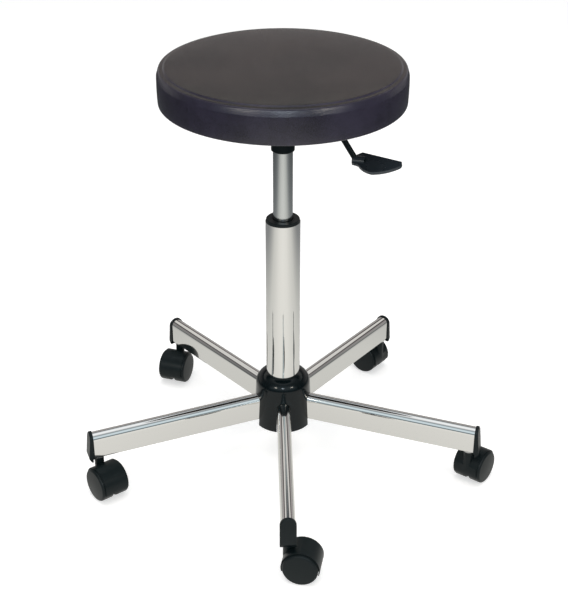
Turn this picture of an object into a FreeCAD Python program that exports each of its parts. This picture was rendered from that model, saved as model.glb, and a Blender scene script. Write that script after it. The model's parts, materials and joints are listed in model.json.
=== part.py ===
import FreeCAD, Part
import math
import os
import Sketcher

# A round swivel stool on a five-arm caster base, with a locking gas column and a release lever.
# Millimetres, +Z up. The origin is on the column's axis, at floor level.

SIZES = {
    # casters
    "wheel_radius": 25.0,
    "wheel_inner_face": 4.0,
    "wheel_edge_round": 3.0,
    "wheel_shoulder_offset": 22.2,
    "wheel_crown_offset": 23.7,
    "wheel_bore_clearance": 0.05,
    "wheel_bore_depth": 14.0,
    "axle_radius": 4.0,
    "hood_radius": 27.0,
    "hood_wall": 1.4,
    "hood_half_width": 18.4,
    "hood_web_half": 3.5,
    "hood_skirt_drop": 7.0,
    "caster_trail": 20.0,
    "caster_inset": 7.8,
    "front_caster_swivel": 349.4,
    "right_caster_swivel": 52.7,
    "back_right_caster_swivel": 141.5,
    "back_left_caster_swivel": 251.5,
    "left_caster_swivel": 308.3,
    "neck_radius": 7.0,
    "neck_gap": 0.8,
    # caster stems and their sockets
    "stem_radius": 5.5,
    "stem_pin_radius": 4.0,
    "stem_height": 21.0,
    "stem_pin_reach": 8.0,
    "stem_clearance": 0.06,
    "grip_ring_depth": 0.8,
    "grip_ring_width": 3.0,
    "grip_ring_drop": 4.0,
    "socket_wall": 1.3,
    "socket_flange_radius": 8.2,
    "socket_flange": 1.6,
    "socket_flange_drop": 0.45,
    # legs and end caps
    "leg_count": 5.0,
    "front_leg_azimuth": -88.7,
    "leg_slope": 2.8,
    "leg_root_height": 95.4,
    "leg_end_radius": 296.8,
    "leg_width": 20.0,
    "leg_height": 40.0,
    "leg_wall": 1.5,
    "leg_corner": 2.5,
    "cap_thickness": 4.6,
    "cap_lip_relief": 2.4,
    "cap_side_lip": 1.5,
    "cap_top_lip": 1.4,
    "cap_bottom_lip": 5.8,
    "cap_bevel": 1.0,
    "cap_draft": 4.0,
    "cap_foot_depth": 4.5,
    "cap_foot_height": 7.0,
    "cap_corner": 1.5,
    "cap_plug_length": 9.0,
    "cap_plug_clearance": 0.1,
    "cap_plug_bottom": 6.0,
    # hub
    "hub_socket_radius": 28.0,
    "hub_socket_top": 110.0,
    "shroud_wall": 2.0,
    "shroud_top": 148.0,
    "shroud_dome_radius": 40.9,
    "shroud_dome_round": 20.0,
    "shroud_skirt_flare": 3.0,
    "shroud_bottom": 63.4,
    "shroud_slot_gap": 0.4,
    # column
    "column_radius": 25.0,
    "column_wall": 2.0,
    "column_bottom": 66.0,
    "column_top": 397.6,
    "bush_length": 85.0,
    "bush_rim_radius": 24.0,
    "bush_rim_height": 4.2,
    "bush_rim_bevel": 0.8,
    "bush_lead_in": 1.6,
    "bush_clearance": 0.06,
    "floor_disc": 5.0,
    "bearing_radius": 10.5,
    "bearing_washer": 2.0,
    "ball_cage": 3.5,
    "bearing_gap": 0.05,
    # gas spring
    "rod_radius": 5.0,
    "rod_end_radius": 4.0,
    "rod_end_clearance": 0.08,
    "rod_washer_gap": 0.3,
    "rod_foot": 3.5,
    "clip_radius": 8.0,
    "clip_thickness": 1.5,
    "bump_stop_radius": 12.0,
    "stop_gap": 0.3,
    "piston_length": 14.0,
    "piston_clearance": 0.08,
    "tube_radius": 14.0,
    "tube_wall": 1.5,
    "tube_bottom": 195.0,
    "tube_top_drop": 23.0,
    "tube_cone_narrowing": 0.7,
    "rod_guide_length": 18.0,
    "rod_guide_clearance": 0.06,
    "valve_body_length": 36.0,
    "valve_pin_radius": 3.0,
    "valve_pin_clearance": 0.06,
    "valve_pin_bevel": 1.2,
    "valve_pin_foot": 14.0,
    "lift_drop": 100.0,
    "lift_rise": 100.0,
    # seat mechanism
    "taper_socket_drop": 74.0,
    "taper_socket_radius": 16.5,
    "taper_socket_bevel": 1.2,
    "plate_thickness": 2.5,
    "plate_depth": 28.0,
    "plate_half_length": 62.0,
    "plate_flange_half_width": 50.0,
    "channel_half_width": 26.0,
    "plate_bend": 1.5,
    "screw_spacing_x": 96.0,
    "screw_spacing_y": 76.0,
    "screw_radius": 3.0,
    "screw_hole_clearance": 0.2,
    "screw_head_radius": 5.5,
    "screw_head_height": 3.5,
    "screw_bite": 10.0,
    # lever
    "lever_azimuth": -22.0,
    "lever_radius": 4.0,
    "lever_drop": 13.0,
    "lever_tail": 12.0,
    "lever_pin_gap": 0.25,
    "lever_pivot_reach": 28.0,
    "lever_pivot_drop": 6.0,
    "lever_boss_radius": 5.4,
    "lever_boss_half_width": 10.0,
    "pivot_pin_radius": 2.5,
    "pivot_pin_clearance": 0.05,
    "lever_knee_reach": 66.3,
    "lever_elbow_reach": 107.2,
    "lever_elbow_fall": 59.7,
    "lever_end_reach": 120.5,
    "lever_bend_radius": 12.0,
    "paddle_reach": 104.6,
    "paddle_rise": 2.7,
    "paddle_roll": 20.0,
    "paddle_thickness": 4.6,
    "paddle_length": 65.5,
    "paddle_tip_half_width": 4.6,
    "paddle_far_root": 15.0,
    "paddle_far_root_reach": 7.0,
    "paddle_near_root": 9.6,
    "paddle_near_root_reach": 8.0,
    "paddle_belly": 22.3,
    "paddle_belly_reach": 31.0,
    "paddle_belly_round": 34.0,
    "paddle_tip_round": 60.0,
    "paddle_recess_share": 0.9,
    "paddle_recess_depth": 1.0,
    "paddle_recess_middle": 30.0,
    "paddle_boss_radius": 6.8,
    "paddle_boss_overhang": 2.0,
    "paddle_boss_length": 17.0,
    # seat
    "seat_bottom": 579.0,
    "seat_height": 50.4,
    "seat_crown": 2.6,
    "seat_flat_radius": 55.0,
    "seat_radius": 170.0,
    "seat_bottom_narrowing": 1.1,
    "seat_top_narrowing": 0.8,
    "seat_bottom_round": 2.0,
    "seat_top_round": 8.0,
    "board_inset": 20.0,
    "board_thickness": 12.0,
}

LEG_NAMES = ["front", "right", "back_right", "back_left", "left"]
FULL_TURN = 360.0


class Size:
    """A size that holds its value and the sheet expression that gives it."""

    def __init__(self, value, text):
        self.value = value
        self.text = text

    def join(self, other, sign, value):
        return Size(value, "(%s %s %s)" % (self.text, sign, words_of(other)))

    def __add__(self, other):
        return self.join(other, "+", self.value + number_of(other))

    def __sub__(self, other):
        return self.join(other, "-", self.value - number_of(other))

    def __mul__(self, other):
        return self.join(other, "*", self.value * number_of(other))

    def __truediv__(self, other):
        return self.join(other, "/", self.value / number_of(other))

    def __neg__(self):
        return Size(-self.value, "(-1 * %s)" % self.text)


def number_of(item):
    return item.value if isinstance(item, Size) else float(item)


def words_of(item):
    return item.text if isinstance(item, Size) else repr(float(item))


def cosine(angle):
    return Size(math.cos(math.radians(angle.value)), "cos(%s)" % angle.text)


def sine(angle):
    return Size(math.sin(math.radians(angle.value)), "sin(%s)" % angle.text)


def tangent(angle):
    return Size(math.tan(math.radians(angle.value)), "tan(%s)" % angle.text)


def square_root(area):
    return Size(math.sqrt(area.value), "sqrt(%s)" % area.text)


class Sheet:
    """The driving sizes, each read as a Size by its own name."""

    def __init__(self, document, sizes):
        self.sheet = document.addObject("Spreadsheet::Sheet", "Sizes")
        for row, (name, value) in enumerate(sizes.items(), start=1):
            self.sheet.set("A%d" % row, name)
            self.sheet.set("B%d" % row, str(value))
            self.sheet.setAlias("B%d" % row, name)
        document.recompute()

    def __getattr__(self, name):
        return Size(float(self.sheet.get(name)), "Sizes." + name)


doc = FreeCAD.newDocument("stool")
z = Sheet(doc, SIZES)
parts = {}
ZERO = Size(0.0, "0")


def keep(node, piece):
    """Names a finished piece, so that it is written out."""
    piece.Label = node
    parts[node] = piece
    return piece


def link(item, name, size):
    item.setExpression(name, words_of(size))


def place(item, x=ZERO, y=ZERO, height=ZERO, yaw=ZERO, pitch=ZERO, roll=ZERO):
    """Puts a piece at a point, turned about Z, then about its own Y, then about its own X."""
    place_words = "create(<<placement>>; create(<<vector>>; %s; %s; %s); create(<<rotation>>; %s; %s; %s))"
    item.setExpression("Placement", place_words % tuple(words_of(v) for v in (x, y, height, yaw, pitch, roll)))
    base = FreeCAD.Vector(number_of(x), number_of(y), number_of(height))
    turn = FreeCAD.Rotation(number_of(yaw), number_of(pitch), number_of(roll))
    item.Placement = FreeCAD.Placement(base, turn)


def new_body(name):
    return doc.addObject("PartDesign::Body", name)


def plane_of(body, role):
    return [item for item in body.Origin.OriginFeatures if item.Role == role][0]


def new_sketch(body, name, role, offset=None):
    sketch = body.newObject("Sketcher::SketchObject", name)
    sketch.AttachmentSupport = [(plane_of(body, role), "")]
    sketch.MapMode = "FlatFace"
    if offset is not None:
        sketch.AttachmentOffset = FreeCAD.Placement(FreeCAD.Vector(0, 0, number_of(offset)), FreeCAD.Rotation())
        link(sketch, "AttachmentOffset.Base.z", offset)
    return sketch


def pin_down(sketch, geometry, point, x, y, tag):
    """Ties one point of a sketch to the sizes that give its two coordinates."""
    for kind, axis, size in (("DistanceX", -2, x), ("DistanceY", -1, y)):
        if number_of(size) == 0.0:
            sketch.addConstraint(Sketcher.Constraint("PointOnObject", geometry, point, axis))
        else:
            rule = Sketcher.Constraint(kind, -1, 1, geometry, point, number_of(size))
            index = sketch.addConstraint(rule)
            name = kind + tag
            sketch.renameConstraint(index, name)
            link(sketch, "Constraints." + name, size)


def tie_radius(sketch, geometry, radius, tag):
    index = sketch.addConstraint(Sketcher.Constraint("Radius", geometry, number_of(radius)))
    sketch.renameConstraint(index, "Radius" + tag)
    link(sketch, "Constraints.Radius" + tag, radius)


def arc_between(start, end, radius, left):
    """A short arc from start to end that bulges to the left or right of the way."""
    chord = end - start
    height = math.sqrt(max(radius ** 2 - (chord.Length / 2) ** 2, 0.0))
    across = FreeCAD.Vector(-chord.y, chord.x, 0).normalize()
    centre = (start + end) * 0.5 + across * (-height if left else height)
    first, last = (end, start) if left else (start, end)
    circle = Part.Circle(centre, FreeCAD.Vector(0, 0, 1), radius)
    angles = [math.atan2(p.y - centre.y, p.x - centre.x) for p in (first, last)]
    return Part.ArcOfCircle(circle, angles[0], angles[1])


def draw_outline(sketch, corners, closed=True, tag=""):
    """Draws lines and arcs through corners (x, y) or (x, y, radius, side of the bulge)."""
    spots = [FreeCAD.Vector(number_of(c[0]), number_of(c[1]), 0) for c in corners]
    count = len(corners) if closed else len(corners) - 1
    starts, ends = [], []
    for index in range(count):
        here, there = spots[index], spots[(index + 1) % len(corners)]
        corner = corners[index]
        if len(corner) == 2:
            edge = sketch.addGeometry(Part.LineSegment(here, there), False)
            start_point, end_point = 1, 2
        else:
            left = corner[3] == "left"
            edge = sketch.addGeometry(arc_between(here, there, number_of(corner[2]), left), False)
            start_point, end_point = (2, 1) if left else (1, 2)
            tie_radius(sketch, edge, corner[2], "%s_%d" % (tag, index))
        starts.append((edge, start_point))
        ends.append((edge, end_point))
    for index in range(count if closed else count - 1):
        before, after = ends[index], starts[(index + 1) % count]
        sketch.addConstraint(Sketcher.Constraint("Coincident", before[0], before[1], after[0], after[1]))
    for index, corner in enumerate(corners):
        edge, point = starts[index] if index < count else ends[-1]
        pin_down(sketch, edge, point, corner[0], corner[1], "%s_%d" % (tag, index))
    return sketch


def toward(corner, other, radius):
    """The point one radius from a corner, along the level or upright line to the next corner."""
    point = []
    for here, there in zip(corner, other):
        gap = number_of(there) - number_of(here)
        point.append(here if abs(gap) < 1e-9 else (here + radius if gap > 0 else here - radius))
    return tuple(point)


def rounded(corners, radii):
    """Rounds the square corners of an outline, each by its own radius, or not at all where that is None."""
    outline = []
    for index, corner in enumerate(corners):
        radius = radii[index]
        if radius is None:
            outline.append(corner)
            continue
        before, after = corners[index - 1], corners[(index + 1) % len(corners)]
        start, end = toward(corner[:2], before[:2], radius), toward(corner[:2], after[:2], radius)
        way_in = [number_of(corner[k]) - number_of(before[k]) for k in (0, 1)]
        way_out = [number_of(after[k]) - number_of(corner[k]) for k in (0, 1)]
        turns_left = way_in[0] * way_out[1] - way_in[1] * way_out[0] > 0
        outline.append(start + (radius, "right" if turns_left else "left"))
        outline.append(end + tuple(corner[2:]))
    return outline


def draw_circle(sketch, x, y, radius, tag=""):
    centre = FreeCAD.Vector(number_of(x), number_of(y), 0)
    circle = Part.Circle(centre, FreeCAD.Vector(0, 0, 1), number_of(radius))
    edge = sketch.addGeometry(circle, False)
    tie_radius(sketch, edge, radius, tag)
    pin_down(sketch, edge, 3, x, y, tag)
    return sketch


def pad(body, sketch, length, both_ways=False, backwards=False):
    feature = body.newObject("PartDesign::Pad", sketch.Name + "_pad")
    feature.Profile = sketch
    if both_ways:
        feature.SideType = "Symmetric"
    feature.Reversed = backwards
    feature.Length = number_of(length)
    link(feature, "Length", length)
    return feature


def pocket(body, sketch, length, both_ways=False, backwards=False):
    """Cuts along the sketch's normal, or against it when backwards, and proves that it cut."""
    doc.recompute()
    before = body.Shape.Volume
    feature = body.newObject("PartDesign::Pocket", sketch.Name + "_pocket")
    feature.Profile = sketch
    if both_ways:
        feature.SideType = "Symmetric"
    feature.Reversed = not backwards
    feature.Length = number_of(length)
    link(feature, "Length", length)
    doc.recompute()
    if not body.Shape.Volume < before:
        raise RuntimeError("the pocket %s cut nothing" % feature.Name)
    return feature


def add_bevel(body, base, edges, name, size):
    bevel = body.newObject("PartDesign::Chamfer", name)
    bevel.Base = (base, edges)
    bevel.Size = number_of(size)
    link(bevel, "Size", size)
    return bevel


def revolve(body, sketch):
    feature = body.newObject("PartDesign::Revolution", sketch.Name + "_turned")
    feature.Profile = sketch
    feature.ReferenceAxis = (sketch, ["V_Axis"])
    feature.Angle = FULL_TURN
    return feature


def turned(name, corners):
    """A body turned about Z from an outline of (radius, height) corners."""
    body = new_body(name)
    sketch = draw_outline(new_sketch(body, name + "_outline", "XZ_Plane"), corners)
    revolve(body, sketch)
    return body


def ring(name, inner, outer, bottom, top):
    corners = [(inner, bottom), (outer, bottom), (outer, top), (inner, top)]
    return turned(name, corners)


def group(node, members):
    compound = doc.addObject("Part::Compound", node)
    compound.Links = members
    return keep(node, compound)


def leg_azimuth(index):
    return z.front_leg_azimuth + (Size(FULL_TURN, "360") / z.leg_count) * index


# the sizes that several pieces share
caster_circle = z.leg_end_radius - z.caster_inset
tube_top = z.seat_bottom - z.tube_top_drop
taper_bottom = z.seat_bottom - z.taper_socket_drop
lever_height = z.seat_bottom - z.lever_drop
elbow_height = lever_height - z.lever_elbow_fall
board_radius = z.seat_radius - z.board_inset
column_inner = z.column_radius - z.column_wall
tube_inner = z.tube_radius - z.tube_wall
cone_top_radius = z.tube_radius - z.tube_cone_narrowing
bearing_bottom = z.column_bottom + z.floor_disc
bearing_top = bearing_bottom + z.bearing_washer + z.ball_cage + z.bearing_gap
rod_shoulder = bearing_top + z.bearing_washer
piston_bottom = z.tube_bottom + z.rod_guide_length + z.lift_rise + z.stop_gap
axle_height = z.wheel_radius
socket_radius = z.stem_radius + z.socket_wall
plate_web = z.seat_bottom - z.plate_depth
lever_bottom = lever_height - z.lever_radius


def leg_bottom_at(radius):
    return z.leg_root_height - z.leg_height / (cosine(z.leg_slope) * 2) - radius * tangent(z.leg_slope)


socket_top_face = leg_bottom_at(caster_circle) - z.socket_flange_drop
socket_foot = socket_top_face - z.socket_flange
neck_top = socket_foot - z.neck_gap
stem_pin_end = axle_height + z.hood_radius - z.stem_pin_reach


# column: stand tube, its guide bush and the bearing on its floor
def make_column():
    keep("column_tube", ring("column_tube", column_inner, z.column_radius, z.column_bottom, z.column_top))
    bore = z.tube_radius + z.bush_clearance
    rim_top = z.column_top + z.bush_rim_height
    bush = [
        (bore, z.column_top - z.bush_length),
        (column_inner, z.column_top - z.bush_length),
        (column_inner, z.column_top),
        (z.bush_rim_radius, z.column_top),
        (z.bush_rim_radius, rim_top - z.bush_rim_bevel),
        (z.bush_rim_radius - z.bush_rim_bevel, rim_top),
        (bore + z.bush_lead_in, rim_top),
        (bore, rim_top - z.bush_lead_in),
    ]
    keep("column_guide_bush", turned("column_guide_bush", bush))
    rod_hole = z.rod_end_radius + z.rod_end_clearance
    keep("column_floor_disc", ring("column_floor_disc", rod_hole, column_inner, z.column_bottom, bearing_bottom))
    washer_bore = z.rod_end_radius + z.rod_washer_gap
    washer_top = bearing_bottom + z.bearing_washer
    keep("bearing_lower_washer", ring("bearing_lower_washer", washer_bore, z.bearing_radius, bearing_bottom, washer_top))
    cage_radius = z.bearing_radius - z.rod_washer_gap
    keep("bearing_ball_cage", ring("bearing_ball_cage", washer_bore, cage_radius, washer_top, washer_top + z.ball_cage))


# piston rod: turns in the column's floor, and holds the piston inside the pressure tube
def make_rod():
    rod_bottom = z.column_bottom - z.rod_foot
    piston_top = piston_bottom + z.piston_length
    rod = [
        (ZERO, rod_bottom),
        (z.rod_end_radius, rod_bottom),
        (z.rod_end_radius, rod_shoulder),
        (z.rod_radius, rod_shoulder),
        (z.rod_radius, piston_top),
        (ZERO, piston_top),
    ]
    keep("piston_rod", turned("piston_rod", rod))
    clip_top = z.column_bottom - z.bearing_gap
    keep("rod_clip", ring("rod_clip", z.rod_end_radius, z.clip_radius, clip_top - z.clip_thickness, clip_top))
    upper = ring("bearing_upper_washer", z.rod_end_radius, z.bearing_radius, bearing_top, rod_shoulder)
    keep("bearing_upper_washer", upper)
    stop_top = z.tube_bottom - z.lift_drop - z.stop_gap
    keep("bump_stop", ring("bump_stop", z.rod_radius, z.bump_stop_radius, rod_shoulder, stop_top))
    piston_radius = tube_inner - z.piston_clearance
    keep("piston_head", ring("piston_head", z.rod_radius, piston_radius, piston_bottom, piston_top))


# pressure tube: slides in the bush, closed by the rod guide below and the valve above
def make_pressure_tube():
    tube = [
        (tube_inner, z.tube_bottom),
        (z.tube_radius, z.tube_bottom),
        (z.tube_radius, taper_bottom),
        (cone_top_radius, tube_top),
        (cone_top_radius - z.tube_wall, tube_top),
        (tube_inner, taper_bottom),
    ]
    keep("pressure_tube", turned("pressure_tube", tube))
    guide_bore = z.rod_radius + z.rod_guide_clearance
    guide_top = z.tube_bottom + z.rod_guide_length
    keep("rod_guide", ring("rod_guide", guide_bore, tube_inner, z.tube_bottom, guide_top))
    valve_bore = z.valve_pin_radius + z.valve_pin_clearance
    valve_bottom = tube_top - z.valve_body_length
    slope = z.tube_cone_narrowing / (tube_top - taper_bottom)
    valve = [
        (valve_bore, valve_bottom),
        (tube_inner - slope * (valve_bottom - taper_bottom), valve_bottom),
        (cone_top_radius - z.tube_wall, tube_top),
        (valve_bore, tube_top),
    ]
    keep("valve_body", turned("valve_body", valve))
    pin_top = lever_bottom - z.lever_pin_gap
    pin = [
        (ZERO, tube_top - z.valve_pin_foot),
        (z.valve_pin_radius, tube_top - z.valve_pin_foot),
        (z.valve_pin_radius, pin_top - z.valve_pin_bevel),
        (z.valve_pin_radius - z.valve_pin_bevel, pin_top),
        (ZERO, pin_top),
    ]
    keep("release_pin", turned("release_pin", pin))


# hub: the welded socket and the moulded shroud, slotted for the legs
def leg_outline(sketch, width, height, corner, tag=""):
    """The leg's section, flat below and half round above, about its own middle."""
    half = width / 2
    shoulder = height / 2 - half
    bottom = -(height / 2)
    corners = [(-half, bottom), (half, bottom), (half, shoulder, half, "right"), (ZERO, height / 2, half, "right"),
               (-half, shoulder)]
    return draw_outline(sketch, rounded(corners, [corner, corner, None, None, None]), tag=tag)


def make_hub():
    hub = ring("hub_socket", z.column_radius, z.hub_socket_radius, z.column_bottom, z.hub_socket_top)
    keep("hub_socket", hub)
    body = new_body("hub_shroud")
    skirt_radius = z.shroud_dome_radius + z.shroud_skirt_flare
    dome_side = z.shroud_top - z.shroud_dome_round
    wall = z.shroud_wall
    inner_round = z.shroud_dome_round - wall
    ring_radius = z.shroud_dome_radius - z.shroud_dome_round
    reach = z.column_radius - ring_radius
    outer_meet = dome_side + square_root(z.shroud_dome_round * z.shroud_dome_round - reach * reach)
    inner_meet = dome_side + square_root(inner_round * inner_round - reach * reach)
    corners = [
        (z.column_radius, outer_meet, z.shroud_dome_round, "left"),
        (z.shroud_dome_radius, dome_side),
        (skirt_radius, z.shroud_bottom),
        (skirt_radius - wall, z.shroud_bottom),
        (z.shroud_dome_radius - wall, dome_side, inner_round, "right"),
        (z.column_radius, inner_meet),
    ]
    revolve(body, draw_outline(new_sketch(body, "shroud_outline", "XZ_Plane"), corners))
    slot = new_sketch(body, "shroud_slot", "YZ_Plane")
    half = z.leg_width / 2 + z.shroud_slot_gap
    crest = z.leg_root_height + z.leg_height / 2 - tangent(z.leg_slope) * z.shroud_dome_radius + z.shroud_slot_gap
    below = z.shroud_bottom - wall
    slot_corners = [(-half, below), (half, below), (half, crest - half, half, "right"), (ZERO, crest, half, "right"),
                    (-half, crest - half)]
    draw_outline(slot, slot_corners)
    cut = pocket(body, slot, skirt_radius + wall)
    pattern = body.newObject("PartDesign::PolarPattern", "shroud_slots")
    pattern.Originals = [cut]
    pattern.Axis = (plane_of(body, "Z_Axis"), [""])
    pattern.Angle = FULL_TURN
    pattern.Occurrences = int(z.leg_count.value)
    link(pattern, "Occurrences", z.leg_count)
    body.Tip = pattern
    place(body, yaw=z.front_leg_azimuth)
    keep("hub_shroud", body)


# legs: D-section tube, coped to the hub socket, with a hole for the caster's socket, and its end cap
def make_leg(index):
    name = "leg_%d" % (index + 1)
    body = new_body(name + "_tube")
    start = z.column_radius * cosine(z.leg_slope)
    end = z.leg_end_radius / cosine(z.leg_slope) + z.leg_height * tangent(z.leg_slope)
    sketch = new_sketch(body, name + "_section", "YZ_Plane", start)
    leg_outline(sketch, z.leg_width, z.leg_height, z.leg_corner, tag="o")
    bore_height = z.leg_height - z.leg_wall * 2
    leg_outline(sketch, z.leg_width - z.leg_wall * 2, bore_height, z.leg_corner - z.leg_wall, tag="i")
    pad(body, sketch, end - start)
    place(body, height=z.leg_root_height, pitch=z.leg_slope)
    cope = doc.addObject("Part::Cylinder", name + "_cope")
    link(cope, "Radius", z.hub_socket_radius)
    link(cope, "Height", z.leg_root_height * 2)
    hole = doc.addObject("Part::Cylinder", name + "_hole")
    link(hole, "Radius", socket_radius)
    link(hole, "Height", z.leg_root_height - z.leg_height / 2)
    place(hole, x=caster_circle)
    trim = doc.addObject("Part::Box", name + "_end_trim")
    link(trim, "Length", z.leg_height)
    link(trim, "Width", z.leg_width * 2)
    link(trim, "Height", z.leg_root_height * 2)
    place(trim, x=z.leg_end_radius, y=-z.leg_width)
    tools = doc.addObject("Part::MultiFuse", name + "_tools")
    tools.Shapes = [cope, hole, trim]
    leg = doc.addObject("Part::Cut", name)
    leg.Base = body
    leg.Tool = tools
    place(leg, yaw=leg_azimuth(index))
    keep(name, leg)


def make_end_cap(index):
    """Upright at the leg's plumb end, thicker towards its foot, with a plug that grips the tube's crown."""
    name = "leg_end_cap_%d" % (index + 1)
    body = new_body(name)
    end = z.leg_end_radius
    half = z.leg_width / 2 + z.cap_side_lip
    half_height = z.leg_height / (cosine(z.leg_slope) * 2)
    top = half_height + z.cap_top_lip
    bottom = -half_height - z.cap_bottom_lip
    plate = new_sketch(body, name + "_plate", "YZ_Plane", end)
    corners = [(-half, bottom), (half, bottom), (half, top - half, half, "right"), (ZERO, top, half, "right"),
               (-half, top - half)]
    draw_outline(plate, rounded(corners, [z.cap_corner, z.cap_corner, None, None, None]))
    pad(body, plate, z.cap_thickness + z.cap_draft)
    front = end + z.cap_thickness + z.cap_draft
    foot_top = bottom + z.cap_foot_height
    slant = new_sketch(body, name + "_slant", "XZ_Plane")
    draw_outline(slant, [(front - z.cap_draft, top), (front, top), (front, foot_top)])
    pocket(body, slant, z.leg_width * 2, both_ways=True)
    foot = new_sketch(body, name + "_foot", "XZ_Plane")
    draw_outline(foot, [(front - z.cap_foot_depth, bottom), (front, bottom), (front, foot_top)])
    shaped = pocket(body, foot, z.leg_width * 2, both_ways=True)
    faces = shaped.Shape.Faces
    outer = [number for number, face in enumerate(faces) if face.normalAt(0, 0).x > 0.9 and face.Area > 100]
    add_bevel(body, shaped, ["Face%d" % (number + 1) for number in outer], name + "_bevel", z.cap_bevel)
    plug = new_sketch(body, name + "_plug", "YZ_Plane", end)
    plug_half = z.leg_width / 2 - z.leg_wall - z.cap_plug_clearance
    plug_top = z.leg_height / 2 - z.leg_wall - z.cap_plug_clearance
    plug_corners = [(-plug_half, z.cap_plug_bottom), (plug_half, z.cap_plug_bottom),
                    (plug_half, plug_top - plug_half, plug_half, "right"), (ZERO, plug_top, plug_half, "right"),
                    (-plug_half, plug_top - plug_half)]
    draw_outline(plug, plug_corners)
    pad(body, plug, z.cap_plug_length, backwards=True)
    relief = new_sketch(body, name + "_relief", "YZ_Plane", end)
    relief_corners = [(-half, bottom), (half, bottom), (half, -half_height), (-half, -half_height)]
    draw_outline(relief, relief_corners)
    pocket(body, relief, z.cap_lip_relief)
    place(body, height=z.leg_root_height - z.leg_end_radius * tangent(z.leg_slope), yaw=leg_azimuth(index))
    keep(name, body)


# casters: socket, stem and grip ring in the leg, hood, axle and two wheels on the swivel
def caster_spot(index):
    azimuth = leg_azimuth(index)
    return caster_circle * cosine(azimuth), caster_circle * sine(azimuth)


def make_caster_mounts():
    stem_top = socket_top_face + z.stem_height
    ring_top = stem_top - z.grip_ring_drop
    ring_bottom = ring_top - z.grip_ring_width
    groove = z.stem_radius - z.grip_ring_depth
    socket_corners = [
        (z.stem_radius, socket_foot),
        (z.socket_flange_radius, socket_foot),
        (z.socket_flange_radius, socket_top_face),
        (socket_radius, socket_top_face),
        (socket_radius, stem_top),
        (z.stem_radius, stem_top),
    ]
    stem_corners = [
        (ZERO, stem_pin_end),
        (z.stem_pin_radius, stem_pin_end),
        (z.stem_pin_radius, socket_foot),
        (z.stem_radius, socket_foot),
        (z.stem_radius, ring_bottom),
        (groove, ring_bottom),
        (groove, ring_top),
        (z.stem_radius, ring_top),
        (z.stem_radius, stem_top),
        (ZERO, stem_top),
    ]
    sockets, stems, rings = [], [], []
    for index in range(len(LEG_NAMES)):
        x, y = caster_spot(index)
        tag = "_%d" % (index + 1)
        socket = turned("caster_socket" + tag, socket_corners)
        stem = turned("caster_stem" + tag, stem_corners)
        grip = ring("stem_grip_ring" + tag, groove, z.stem_radius, ring_bottom, ring_top)
        for piece, pieces in ((socket, sockets), (stem, stems), (grip, rings)):
            place(piece, x=x, y=y)
            pieces.append(piece)
    group("caster_sockets", sockets)
    group("caster_stems", stems)
    group("stem_grip_rings", rings)


def make_hood(name):
    """The hood about its own swivel axis, trailing along +X."""
    body = new_body(name)
    side = new_sketch(body, name + "_side", "XZ_Plane")
    half_chord = square_root(z.hood_radius * z.hood_radius - z.hood_skirt_drop * z.hood_skirt_drop)
    skirt = axle_height - z.hood_skirt_drop
    crown = axle_height + z.hood_radius
    corners = [(z.caster_trail - half_chord, skirt), (z.caster_trail + half_chord, skirt),
               (z.caster_trail + z.hood_radius, axle_height, z.hood_radius, "right"),
               (z.caster_trail, crown, z.hood_radius, "right"),
               (z.caster_trail - z.hood_radius, axle_height, z.hood_radius, "right")]
    corners[1] = corners[1] + (z.hood_radius, "right")
    draw_outline(side, corners)
    pad(body, side, z.hood_half_width * 2, both_ways=True)
    neck = new_sketch(body, name + "_neck", "XY_Plane", axle_height)
    draw_circle(neck, ZERO, ZERO, z.neck_radius)
    pad(body, neck, neck_top - axle_height)
    room_radius = z.hood_radius - z.hood_wall
    room = new_sketch(body, name + "_wheel_room", "XZ_Plane", z.hood_web_half)
    draw_circle(room, z.caster_trail, axle_height, room_radius)
    cut = pocket(body, room, z.hood_half_width)
    mirror = body.newObject("PartDesign::Mirrored", name + "_other_room")
    mirror.Originals = [cut]
    mirror.MirrorPlane = (plane_of(body, "XZ_Plane"), [""])
    body.Tip = mirror
    stem_hole = new_sketch(body, name + "_stem_hole", "XY_Plane", neck_top)
    draw_circle(stem_hole, ZERO, ZERO, z.stem_pin_radius + z.stem_clearance)
    pocket(body, stem_hole, neck_top - stem_pin_end + z.neck_gap, backwards=True)
    axle_hole = new_sketch(body, name + "_axle_hole", "XZ_Plane")
    draw_circle(axle_hole, z.caster_trail, axle_height, z.axle_radius)
    pocket(body, axle_hole, z.hood_web_half * 4, both_ways=True)
    return body


def make_wheel(name):
    """One wheel turned about Z, its inner face down; Z is the way out along the axle."""
    bore = z.axle_radius + z.wheel_bore_clearance
    bore_top = z.wheel_inner_face + z.wheel_bore_depth
    corners = [
        (bore, z.wheel_inner_face),
        (z.wheel_radius, z.wheel_inner_face),
        (z.wheel_radius, z.wheel_shoulder_offset - z.wheel_edge_round, z.wheel_edge_round, "right"),
        (z.wheel_radius - z.wheel_edge_round, z.wheel_shoulder_offset),
        (ZERO, z.wheel_crown_offset),
        (ZERO, bore_top),
        (bore, bore_top),
    ]
    return turned(name, corners)


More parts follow.
